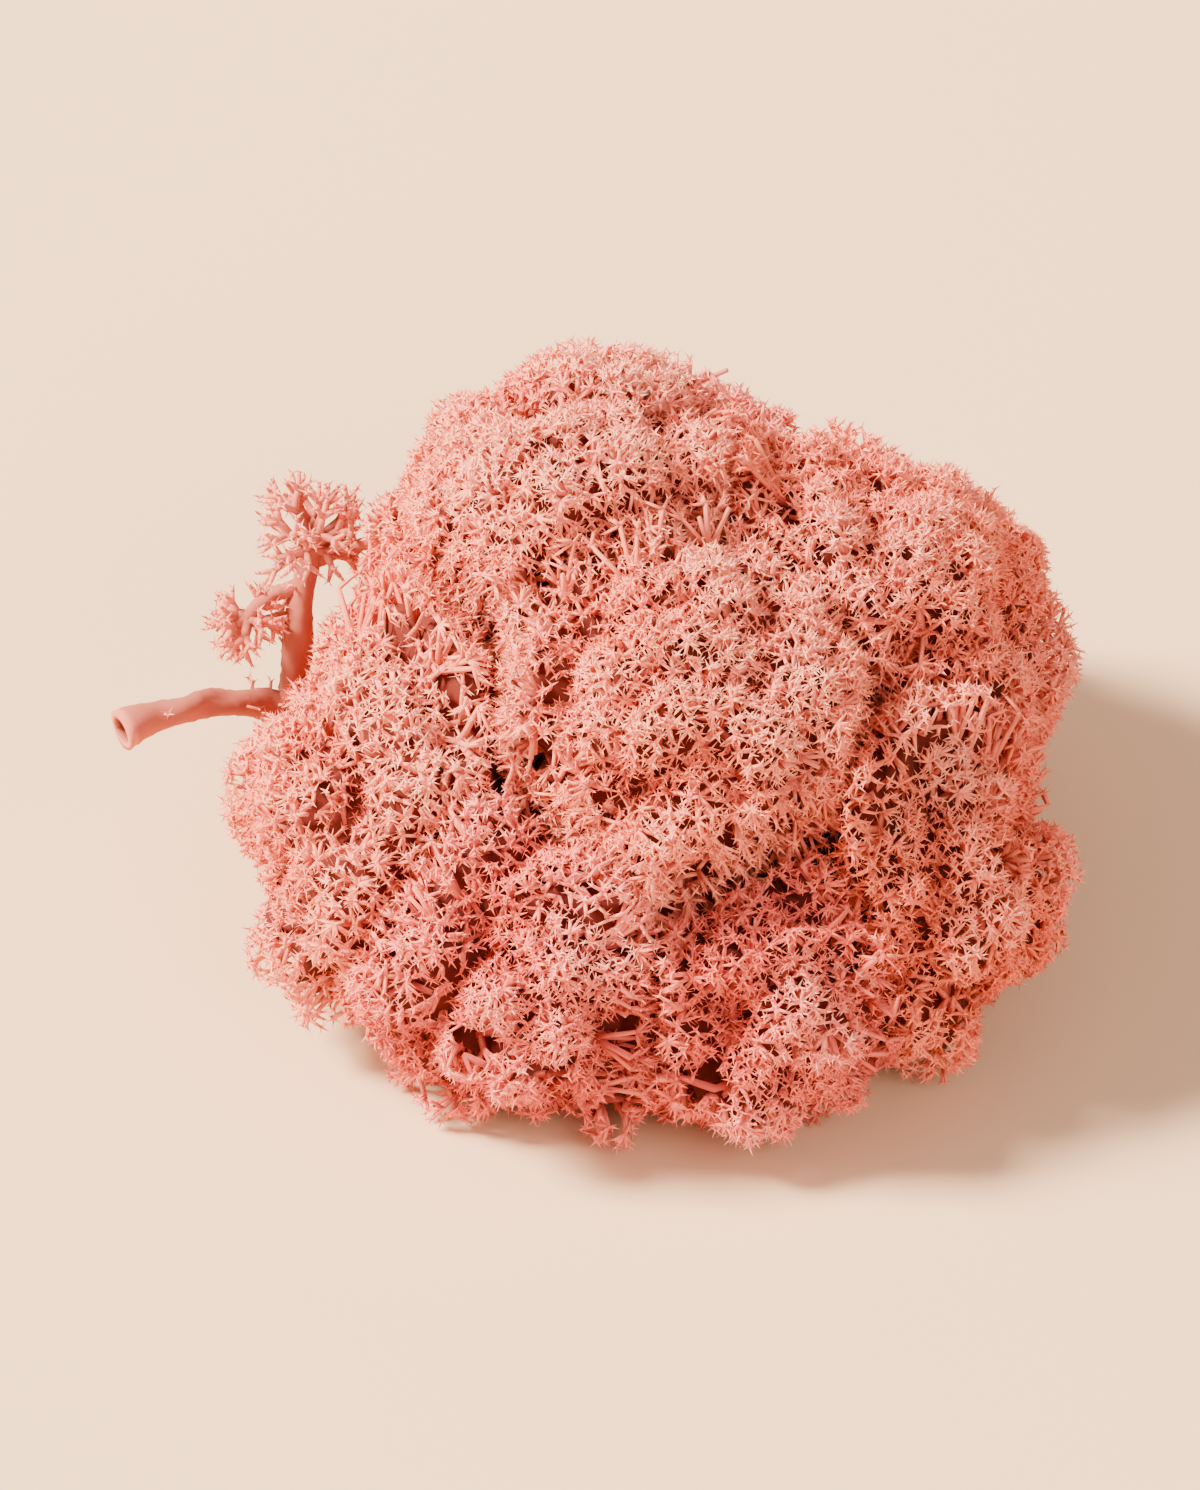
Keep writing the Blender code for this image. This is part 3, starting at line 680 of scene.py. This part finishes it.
def add_heart(growth, name, windows, rng):
    """Lumpy closed body HEART_DEPTH under the tips, where the old branches are too dense to see into; it is
    coloured near black, partly as painted shade.

    Row and column are latitude and longitude. Each point is moved in or out at random, and a pit
    under every large window lets the eye deeper in.
    """
    podetium = PODETIA[name]
    centre = np.array(podetium.centre) * MM
    latitude = np.linspace(-0.48, 0.48, HEART_ROWS)[:, None] * math.pi
    longitude = np.arange(HEART_COLUMNS)[None] * 2 * math.pi / HEART_COLUMNS
    directions = np.stack([np.cos(latitude) * np.cos(longitude), np.cos(latitude) * np.sin(longitude),
                           np.sin(latitude) * np.ones_like(longitude)], axis=-1)
    flat = directions.reshape(-1, 3)
    surface = crowded_reach(flat, name)
    run, wall = nearest_wall(centre, flat, ROOMS[name])
    cover = cover_of(centre + flat * run[:, None], wall, name)
    wall_gap = np.clip(HEART_DEPTH - cover, HEART_WALL_GAP, HEART_DEPTH)
    pit = np.exp(-(nearest_angle(flat, windows) / HEART_PIT_ANGLE) ** 2) * HEART_PIT_DEPTH
    rough = HEART_ROUGHNESS * rng.normal(size=len(flat))
    rough[:HEART_COLUMNS] = rough[-HEART_COLUMNS:] = 0
    distance = np.minimum(surface - HEART_DEPTH - pit, run - wall_gap) + rough
    lift = 0.5 + 0.5 * flat[:, 2]
    ages = HEART_SHADE_AGES[1] + (HEART_SHADE_AGES[0] - HEART_SHADE_AGES[1]) * lift
    rows = np.arange(HEART_ROWS - 1)[:, None] * HEART_COLUMNS
    here = rows + np.arange(HEART_COLUMNS)[None]
    after = rows + (np.arange(HEART_COLUMNS)[None] + 1) % HEART_COLUMNS
    quads = np.stack([here, after, after + HEART_COLUMNS, here + HEART_COLUMNS], axis=-1).reshape(-1, 4)
    caps = np.arange(HEART_COLUMNS)
    poles = [caps[None, ::-1], (caps + (HEART_ROWS - 1) * HEART_COLUMNS)[None]]
    growth.add(centre + flat * distance[:, None], [quads, *poles], ages, np.full(len(flat), HEART_SHADE_DYE))


# %% [markdown]
# ## A whole podetium
# The limbs leave the stem at different heights, and every later branch leaves its parent in the
# parent's own direction before it bends to its end, as an antler does. That bend is what keeps the
# net from looking like a wire frame. Thick branches are drawn under the surface, because on the real
# crown only twigs and stars reach it.

# %% Grow one crown
STEM_FOOT_RADIUS = 1.25 * MM
STEM_NECK_RADIUS = 0.85 * MM
STEM_RINGS = 14
STEM_SIDES = 12
STEM_WAVE = 0.09
STEM_AGES = (0.88, 0.76)
LEAD_SHARE = 0.45
# How much painted crease shade adds to a branch's dye, and to the ages of its stars.
CREASE_SHADE_DYE, CREASE_SHADE_AGE = 0.7, 0.36
COVERED_SHARE = 0.75


def bezier(starts, leads, ends, rings):
    """Points of many quadratic curves: start (1-t)^2 + lead 2t(1-t) + end t^2."""
    t = np.linspace(0, 1, rings)[None, :, None]
    return (1 - t) ** 2 * starts[:, None] + 2 * t * (1 - t) * leads[:, None] + t ** 2 * ends[:, None]


def add_stem(growth, podetium, rng):
    """Stem from its flat foot to the crown's heart, and the points where limbs can leave it."""
    foot = np.array([*podetium.foot, 0.0]) * MM
    centre = np.array(podetium.centre) * MM
    knee = foot + (0, 0, 0.6 * centre[2])
    line = bezier(foot[None], knee[None], centre[None], STEM_RINGS)
    line[:, 1, :2] = foot[:2]
    taper = np.linspace(STEM_FOOT_RADIUS, STEM_NECK_RADIUS, STEM_RINGS)
    wave = 1 + STEM_WAVE * rng.normal(size=STEM_RINGS)
    wave[0] = 1
    ages = np.linspace(*STEM_AGES, STEM_RINGS)
    add_tubes(growth, line, (taper * wave)[None], STEM_SIDES, ages, np.array([podetium.dye]))
    return line[0]


def drawn_under(lines, name, depth):
    """Lines drawn towards the crown's centre wherever they lie less than depth under its surface."""
    centre = np.array(PODETIA[name].centre) * MM
    away = lines.reshape(-1, 3) - centre
    distance = np.linalg.norm(away, axis=1, keepdims=True)
    directions = away / np.maximum(distance, 1e-9)
    surface = np.minimum(crowded_reach(directions, name), nearest_wall(centre, directions, ROOMS[name])[0])
    deepest = np.minimum(distance[:, 0], np.maximum(surface - depth, 0.3 * surface))
    return (centre + directions * deepest[:, None]).reshape(lines.shape)


def grow_crown(name, order):
    podetium = PODETIA[name]
    rng = np.random.default_rng(SEED + 100 * order)
    room = ROOMS[name]
    growth = Growth()
    stem = add_stem(growth, podetium, rng)
    add_heart(growth, name, WINDOWS[name], rng)
    grown = grow_levels(name, rng)
    leave_at = (rng.uniform(0.45, 0.95, len(grown[0][0])) * (STEM_RINGS - 1)).astype(int)
    before, runs_before, age_before = stem, unit(np.gradient(stem, axis=0)), 0.9
    for level, (points, parents, crease_shades) in zip(LEVELS, grown):
        if level is LIMBS:
            parents = leave_at
        # Painted shade: creases between lobes and faces against a neighbour get more dye and older, darker
        # stars; lobe tops get less dye and are painted lighter.
        starts, dyes = before[parents], dye_of(points, podetium.dye + CREASE_SHADE_DYE * (crease_shades - 0.3), rng)
        if level is TIPS:
            add_stars(growth, starts, points, dyes, room, rng, CREASE_SHADE_AGE * crease_shades ** 2)
            break
        length = np.linalg.norm(points - starts, axis=1, keepdims=True)
        leads = starts + runs_before[parents] * length * LEAD_SHARE
        lines = bezier(starts, leads, points, level.rings)
        if level in (LIMBS, BOUGHS, BRANCHES):
            lines = drawn_under(lines, name, COVERED_SHARE * level.depth * MM)
        lines = kept_inside(lines, room, level.root_radius * MM)
        radii = np.linspace(level.root_radius, level.end_radius, level.rings) * MM
        radii = radii * rng.uniform(0.85, 1.15, len(points))[:, None]
        ages = np.linspace(age_before, level.age, level.rings) * np.ones((len(points), 1))
        add_tubes(growth, lines, radii, level.sides, ages, dyes)
        before, runs_before, age_before = lines[:, -1], unit(lines[:, -1] - lines[:, -2]), level.age
    return growth


# %% [markdown]
# ## The bare sprig
# One podetium beside the clump lost most of its crown, so its hollow stem shows: it forks low, and
# one arm ends in a cut ring while the other carries a small tuft. A tube would have a flat end, so
# this arm's outline goes out to the lip and back down inside, which makes the hollow.

# %% Sprig sizes, in millimetres
SPRIG_FOOT = (-17.4, 7.7, 0)
SPRIG_FORK = (-17.6, 6.9, 10.5)
SPRIG_CUT_END = (-27.4, 2.6, 12.0)
SPRIG_TUFT = (-16.6, 9.4, 20.0)
SPRIG_DROP = (-20.2, 8.0, 15.9)
DROOP_START, DROOP_SWING = (-16.9, 8.8, 17.6), (-0.6, -0.3, 1.2)
SPRIG_DYE = 0.55
BRIDGE_DIRECTION = (4.0, -1.0, 1.2)
HOOK_DIRECTION = (4.0, -3.6, 0.6)
BRIDGE_RADIUS, HOOK_RADIUS = 0.33, 0.6
STEM_RADII = (1.25, 1.12, 1.02, 1.0, 1.2)
ARM_RADII = (1.12, 0.88, 0.76, 0.78, 0.80, 0.88, 1.24)
RISE_RADII = (1.12, 0.9, 0.8, 0.72, 0.62)
DROOP_RADII = (0.5, 0.42, 0.38)
BORE_RADIUS = 0.82
BORE_DEPTH_RINGS = 12
SPRIG_RINGS = 40
SPRIG_SIDES = 16
TOUCH_GAP = 0.4
KNOB_WAVES = 7
KNOBS_ALONG = (0.8, 4.0)
KNOB_SHARE = 0.105
SKIN_SHARE = 0.035
BUD_LENGTH = (0.4 * MM, 1.0 * MM)
# The bore darkens from the lip inwards, painted shade in the hollow; the lip is paler.
ARM_AGES, BORE_SHADE_AGES = (0.78, 0.6), (0.8, 1.0)
LIP_RINGS, LIP_AGE = 2, 0.3


def knobbly_radii(knots, rng):
    """Radii round every ring: r (1 + share x sum of sin(a s + m t + phase) + skin), s along and t round.

    The smooth radius r runs between the knots, each wave has its own a, m and phase, and the skin is
    a small random step at every vertex.
    """
    place = np.linspace(0, len(knots) - 1, SPRIG_RINGS)
    smooth = np.interp(place, np.arange(len(knots)), knots) * MM
    along = np.linspace(0, 2 * math.pi, SPRIG_RINGS)[:, None]
    turn = np.arange(SPRIG_SIDES) * 2 * math.pi / SPRIG_SIDES
    bumps = np.zeros((SPRIG_RINGS, SPRIG_SIDES))
    for _ in range(KNOB_WAVES):
        bumps += np.sin(rng.uniform(*KNOBS_ALONG) * along + rng.integers(1, 4) * turn
                        + rng.uniform(0, 2 * math.pi))
    skin = SKIN_SHARE * np.random.default_rng(SEED + len(knots)).normal(size=bumps.shape)
    return smooth[:, None] * (1 + KNOB_SHARE * bumps / math.sqrt(KNOB_WAVES) + skin)


def sprig_line(start, lead, end, steps=SPRIG_RINGS):
    places = [np.array(place)[None] * MM for place in (start, lead, end)]
    return bezier(*places, steps)


def add_sprig_tube(growth, line, radii, ages):
    add_tubes(growth, line, radii[None], SPRIG_SIDES, np.linspace(*ages, line.shape[1]),
              np.array([SPRIG_DYE]))


def add_hollow_arm(growth, line, radii):
    """Tube whose rings run out to the lip and back inside it, at the same places, to the bore's end."""
    runs = unit(np.gradient(line, axis=1))
    back = slice(-1, -1 - BORE_DEPTH_RINGS, -1)
    bore = BORE_RADIUS * MM * np.linspace(1, 0.75, BORE_DEPTH_RINGS)[:, None] * np.ones(SPRIG_SIDES)
    centres = np.concatenate([line, line[:, back]], axis=1)
    all_runs = np.concatenate([runs, runs[:, back]], axis=1)
    rings = circles(centres, all_runs, np.concatenate([radii, bore])[None], SPRIG_SIDES)
    count = centres.shape[1]
    ages = np.concatenate([np.linspace(*ARM_AGES, line.shape[1]), np.linspace(*BORE_SHADE_AGES, BORE_DEPTH_RINGS)])
    ages[line.shape[1] - LIP_RINGS:line.shape[1] + 1] = LIP_AGE
    growth.add(rings.reshape(-1, 3), tube_faces(1, count, SPRIG_SIDES),
               np.repeat(ages, SPRIG_SIDES), np.full(count * SPRIG_SIDES, SPRIG_DYE))


def add_buds(growth, line, count, room, rng):
    """Nubs that stand out of a bare branch's upper side, each a very short star tip."""
    at = rng.integers(6, SPRIG_RINGS - 8, count)
    ways = unit((0, 0, 1) + 0.75 * rng.normal(size=(count, 3)))
    starts = line[0][at]
    length = 0.8 * MM + rng.uniform(*BUD_LENGTH, count)
    add_stars(growth, starts, starts + ways * length[:, None], np.full(count, SPRIG_DYE), room, rng)
# %% Sprig's tufts


class Tuft(NamedTuple):
    """Forked twigs out of one point, with their reach in millimetres and how they lean up or down."""
    heart: tuple
    limbs: int
    reach: float
    lift: float
    dye: float


# The hanging tuft gets far more dye than the top one, so it is darker and redder, partly painted shade under
# the tuft.
TUFTS = (Tuft(SPRIG_TUFT, 15, 1.7, 0.45, 0.30), Tuft(SPRIG_DROP, 10, 1.2, -0.35, 0.85))
TUFT_FLATTEN = (1, 1, 0.75)
FORK_COUNT = 3
FORK_LEAN = math.radians(38)
FORK_SHARES = (0.66, 0.46)
TUFT_RADII = (0.40 * MM, 0.26 * MM, 0.19 * MM, 0.14 * MM)
TUFT_AGES = (0.60, 0.45, 0.30, 0.15)
TUFT_RINGS, TUFT_SIDES = 4, 6


def forked(ends, runs, length, rng):
    """Starts, ends and runs of twigs that fork off each end, evenly round its run."""
    starts, runs = np.repeat(ends, FORK_COUNT, axis=0), np.repeat(runs, FORK_COUNT, axis=0)
    side = any_side(runs)
    up = np.cross(runs, side)
    turn = np.arange(len(runs)) * 2 * math.pi / FORK_COUNT + np.repeat(
        rng.uniform(0, 2 * math.pi, len(ends)), FORK_COUNT)
    lean = FORK_LEAN * rng.uniform(0.7, 1.25, len(runs))
    outward = np.cos(turn)[:, None] * side + np.sin(turn)[:, None] * up
    way = np.cos(lean)[:, None] * runs + np.sin(lean)[:, None] * outward
    grown = starts + way * (length * rng.uniform(0.75, 1.2, len(runs)))[:, None]
    return starts, grown, way


def add_tuft(growth, tuft, room, rng):
    """Twigs from the tuft's heart that fork twice and end in stars."""
    heart, reach = np.array(tuft.heart) * MM, tuft.reach * MM
    ways = scattered(even_directions(tuft.limbs, 0.4), 0.15, rng) * TUFT_FLATTEN + (0, 0, tuft.lift)
    starts = np.repeat(heart[None], tuft.limbs, axis=0)
    ends, runs = heart + ways * reach * rng.uniform(0.7, 1.2, (tuft.limbs, 1)), unit(ways)
    for step in range(3):
        leads = starts + runs * np.linalg.norm(ends - starts, axis=1, keepdims=True) * 0.4
        lines = kept_inside(bezier(starts, leads, ends, TUFT_RINGS), room, TUFT_RADII[step])
        along = np.ones((len(ends), 1))
        radii = np.linspace(TUFT_RADII[step], TUFT_RADII[step + 1], TUFT_RINGS) * along
        ages = np.linspace(TUFT_AGES[step], TUFT_AGES[step + 1], TUFT_RINGS) * along
        dyes = dye_of(ends, tuft.dye, rng)
        add_tubes(growth, lines, radii, TUFT_SIDES, ages, dyes)
        ends, runs = lines[:, -1], unit(lines[:, -1] - lines[:, -2])
        if step < 2:
            starts, ends, runs = forked(ends, runs, FORK_SHARES[step] * reach, rng)
    add_stars(growth, ends, ends + runs * 0.3 * MM, dyes, room, rng)


# %% Grow the sprig
TWIG_OVERRUN = 0.7 * MM


def reach_to_crown(start, direction, end_radius, crown_name):
    """First point along a direction where a twig's end comes up to a packed crown, in metres."""
    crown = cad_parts[crown_name]
    stride = Vector(direction).normalized() * 0.05 * MM
    point = Vector(start) * MM
    while (crown.closest_point_on_mesh(point)[1] - point).length > (end_radius + TOUCH_GAP) * MM:
        point += stride
    return np.array(point)


def add_side_twig(growth, start, direction, radius, crown_name, rng):
    """Thin twig that leans on a crown; it runs on a little way among the crown's own tips."""
    reached = reach_to_crown(start, direction, radius, crown_name)
    begin = np.array(start) * MM - (0, 0, 1.2 * MM)
    end = reached + unit(np.array(direction)) * TWIG_OVERRUN
    lead = 0.5 * (begin + end) + (0, 0, 0.4 * MM)
    line = bezier(begin[None], lead[None], end[None], SPRIG_RINGS)
    add_sprig_tube(growth, line, knobbly_radii((1.5 * radius, radius), rng), (0.65, 0.4))


def grow_sprig():
    rng = np.random.default_rng(SEED)
    room = ROOMS[SPRIG_NAME]
    growth = Growth()
    fork, foot = np.array(SPRIG_FORK), np.array(SPRIG_FOOT)
    below_fork = fork - (0, 0, 0.8)
    stem = sprig_line(foot, foot + (0, 0, 5), fork)
    stem[:, 1, :2] = stem[:, 0, :2]
    add_sprig_tube(growth, stem, knobbly_radii(STEM_RADII, rng), (1.0, 0.8))
    arm = sprig_line(below_fork, fork + (-4, -1, 2.2), SPRIG_CUT_END)
    add_hollow_arm(growth, arm, knobbly_radii(ARM_RADII, rng))
    add_buds(growth, arm, 7, room, rng)
    rise = sprig_line(below_fork, fork + (0, 0.5, 5), SPRIG_TUFT)
    add_sprig_tube(growth, rise, knobbly_radii(RISE_RADII, rng), (0.8, 0.55))
    add_buds(growth, rise, 4, room, rng)
    droop_lead = 0.5 * (np.array(DROOP_START) + SPRIG_DROP) + DROOP_SWING
    droop = sprig_line(DROOP_START, droop_lead, SPRIG_DROP)
    add_sprig_tube(growth, droop, knobbly_radii(DROOP_RADII, rng), (0.65, 0.5))
    add_side_twig(growth, SPRIG_TUFT, BRIDGE_DIRECTION, BRIDGE_RADIUS, "crown_crest", rng)
    add_side_twig(growth, SPRIG_FORK, HOOK_DIRECTION, HOOK_RADIUS, "crown_left", rng)
    for tuft in TUFTS:
        add_tuft(growth, tuft, room, rng)
    return growth




# %% [markdown]
# ## From growth to mesh
# Colour follows two numbers that every vertex carries: its age, from 0 at a tip to 1 at the foot, and
# its dye. They are kept as the piece's UV map, so a finish can be painted along the branches without
# any picture, and thousands of branches share one small map. Each vertex is moved a hair round a
# small circle, so that even a face of one age and dye covers a little of the map.

# %% Mesh and map
MAP_MARGIN = 0.03
CORNER_SPREAD = 0.006
CORNER_TURN = 2.4


def growth_object(name, growth):
    mesh = bpy.data.meshes.new(name)
    mesh.from_pydata(np.concatenate(growth.vertices), [], growth.faces)
    corner_vertex = np.empty(len(mesh.loops), np.int32)
    mesh.loops.foreach_get("vertex_index", corner_vertex)
    turn = corner_vertex * CORNER_TURN
    span = 1 - 2 * MAP_MARGIN
    age = MAP_MARGIN + span * np.concatenate(growth.ages)[corner_vertex] + CORNER_SPREAD * np.cos(turn)
    dye = MAP_MARGIN + span * np.concatenate(growth.dyes)[corner_vertex] + CORNER_SPREAD * np.sin(turn)
    uv = mesh.uv_layers.new(name="OFBake")
    uv.data.foreach_set("uv", np.stack([age, dye], axis=1).astype(np.float32).reshape(-1))
    corners = np.empty(len(mesh.polygons), np.int32)
    mesh.polygons.foreach_get("loop_total", corners)
    mesh.polygons.foreach_set("use_smooth", corners > 3)
    mesh.validate()
    piece = bpy.data.objects.new(name, mesh)
    bpy.context.scene.collection.objects.link(piece)
    return piece


def triangle_count(piece):
    totals = np.empty(len(piece.data.polygons), np.int32)
    piece.data.polygons.foreach_get("loop_total", totals)
    return int((totals - 2).sum())


# %% [markdown]
# ## Dyed lichen
# The finish is matt and a little downy. Tips are pale because they are thin and new, the branches
# below them hold more dye, and the old wood at the heart is brownish red, kept near black so that it
# also paints the shade deep inside the crown. Where the dye soaked in, every age is multiplied by one
# deeper colour; the crowns raise the dye in their creases too, which is painted shade. The group puts
# out only colour and roughness, so each podetium can set its own colours. The down itself is far finer
# than a star's point, so it shows only as a roughness that varies a little.

# %% Lichen finish
AGES = ("Tip", "Young", "Grown", "Old")
AGE_STEPS = ((0.03, 0.20), (0.20, 0.48), (0.50, 0.95))


def add_socket(group, name, direction, kind, value=None):
    socket = group.interface.new_socket(name=name, in_out=direction, socket_type=kind)
    if value is not None:
        socket.default_value = value


def lichen_group():
    """Node group: four ages blended along a branch, multiplied by the dye, with a downy roughness."""
    group = bpy.data.node_groups.new("lichen_dye", "ShaderNodeTree")
    for age in AGES:
        add_socket(group, age, "INPUT", "NodeSocketColor", (0.9, 0.4, 0.3, 1))
    add_socket(group, "Deep Dye", "INPUT", "NodeSocketColor", (0.9, 0.6, 0.5, 1))
    add_socket(group, "Down Scale", "INPUT", "NodeSocketFloat", 90)
    add_socket(group, "Colour", "OUTPUT", "NodeSocketColor")
    add_socket(group, "Roughness", "OUTPUT", "NodeSocketFloat")
    nodes, links = group.nodes, group.links
    inputs = nodes.new("NodeGroupInput")
    outputs = nodes.new("NodeGroupOutput")
    uv = nodes.new("ShaderNodeUVMap")
    uv.uv_map = "OFBake"
    axes = nodes.new("ShaderNodeSeparateXYZ")
    links.new(uv.outputs["UV"], axes.inputs[0])

    colour = inputs.outputs[AGES[0]]
    for older, (start, end) in zip(AGES[1:], AGE_STEPS):
        share = nodes.new("ShaderNodeMapRange")
        share.inputs["From Min"].default_value = start
        share.inputs["From Max"].default_value = end
        links.new(axes.outputs["X"], share.inputs["Value"])
        mix = nodes.new("ShaderNodeMix")
        mix.data_type = "RGBA"
        links.new(share.outputs["Result"], mix.inputs["Factor"])
        links.new(colour, mix.inputs[6])
        links.new(inputs.outputs[older], mix.inputs[7])
        colour = mix.outputs[2]
    soaked = nodes.new("ShaderNodeMix")
    soaked.data_type = "RGBA"
    soaked.blend_type = "MULTIPLY"
    links.new(axes.outputs["Y"], soaked.inputs["Factor"])
    links.new(colour, soaked.inputs[6])
    links.new(inputs.outputs["Deep Dye"], soaked.inputs[7])
    links.new(soaked.outputs[2], outputs.inputs["Colour"])

    down = nodes.new("ShaderNodeTexNoise")
    down.inputs["Detail"].default_value = 3
    links.new(uv.outputs["UV"], down.inputs["Vector"])
    links.new(inputs.outputs["Down Scale"], down.inputs["Scale"])
    rough = nodes.new("ShaderNodeMapRange")
    rough.inputs["To Min"].default_value = 0.72
    rough.inputs["To Max"].default_value = 0.95
    links.new(down.outputs["Fac"], rough.inputs["Value"])
    links.new(rough.outputs["Result"], outputs.inputs["Roughness"])
    return group


LICHEN = lichen_group()

# %% Colours of each slot
# Old is the brown of old branches, kept near black so that it also paints the shade deep in the crowns.
DYES = {
    "pale_coral_moss": {"Tip": (1.0, 0.47, 0.315, 1), "Young": (1.0, 0.325, 0.21, 1),
                        "Grown": (0.64, 0.155, 0.105, 1), "Old": (0.14, 0.026, 0.018, 1),
                        "Deep Dye": (0.95, 0.60, 0.50, 1)},
    "coral_moss": {"Tip": (1.0, 0.44, 0.30, 1), "Young": (1.0, 0.30, 0.195, 1),
                   "Grown": (0.64, 0.145, 0.09, 1), "Old": (0.13, 0.024, 0.016, 1),
                   "Deep Dye": (0.94, 0.60, 0.46, 1)},
    "rose_moss": {"Tip": (1.0, 0.44, 0.33, 1), "Young": (1.0, 0.29, 0.215, 1),
                  "Grown": (0.62, 0.14, 0.11, 1), "Old": (0.13, 0.024, 0.019, 1),
                  "Deep Dye": (0.92, 0.58, 0.53, 1)},
    "bare_stem": {"Tip": (1.0, 0.42, 0.29, 1), "Young": (0.84, 0.28, 0.195, 1),
                  "Grown": (0.52, 0.165, 0.115, 1), "Old": (0.25, 0.070, 0.048, 1),
                  "Deep Dye": (0.92, 0.66, 0.56, 1)},
}
SHEEN_TINT = (1.0, 0.70, 0.60, 1)


def lichen_material(name, slot):
    material = bpy.data.materials.new(name)
    material.use_nodes = True
    nodes, links = material.node_tree.nodes, material.node_tree.links
    shader = nodes["Principled BSDF"]
    dye = nodes.new("ShaderNodeGroup")
    dye.node_tree = LICHEN
    for socket, value in DYES[slot].items():
        dye.inputs[socket].default_value = value
    links.new(dye.outputs["Colour"], shader.inputs["Base Color"])
    links.new(dye.outputs["Roughness"], shader.inputs["Roughness"])
    shader.inputs["Specular IOR Level"].default_value = 0.15
    shader.inputs["Sheen Weight"].default_value = 0.06
    shader.inputs["Sheen Roughness"].default_value = 0.5
    shader.inputs["Sheen Tint"].default_value = SHEEN_TINT
    return material


# %% Make the podetia
triangles = {}


def make_piece(name, growth, slot):
    """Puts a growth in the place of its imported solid, in that solid's slot."""
    piece = growth_object("fine_" + name, growth)
    piece.data.materials.append(lichen_material(name + "_lichen", slot))
    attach(piece, "root")
    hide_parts(name)
    triangles[name] = triangle_count(piece)


# The sprig comes first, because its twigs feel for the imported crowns, which are hidden once replaced
make_piece(SPRIG_NAME, grow_sprig(), "bare_stem")
for order, (name, podetium) in enumerate(PODETIA.items(), start=1):
    make_piece(name, grow_crown(name, order), podetium.slot)
print("triangles:", triangles, "in all", sum(triangles.values()))
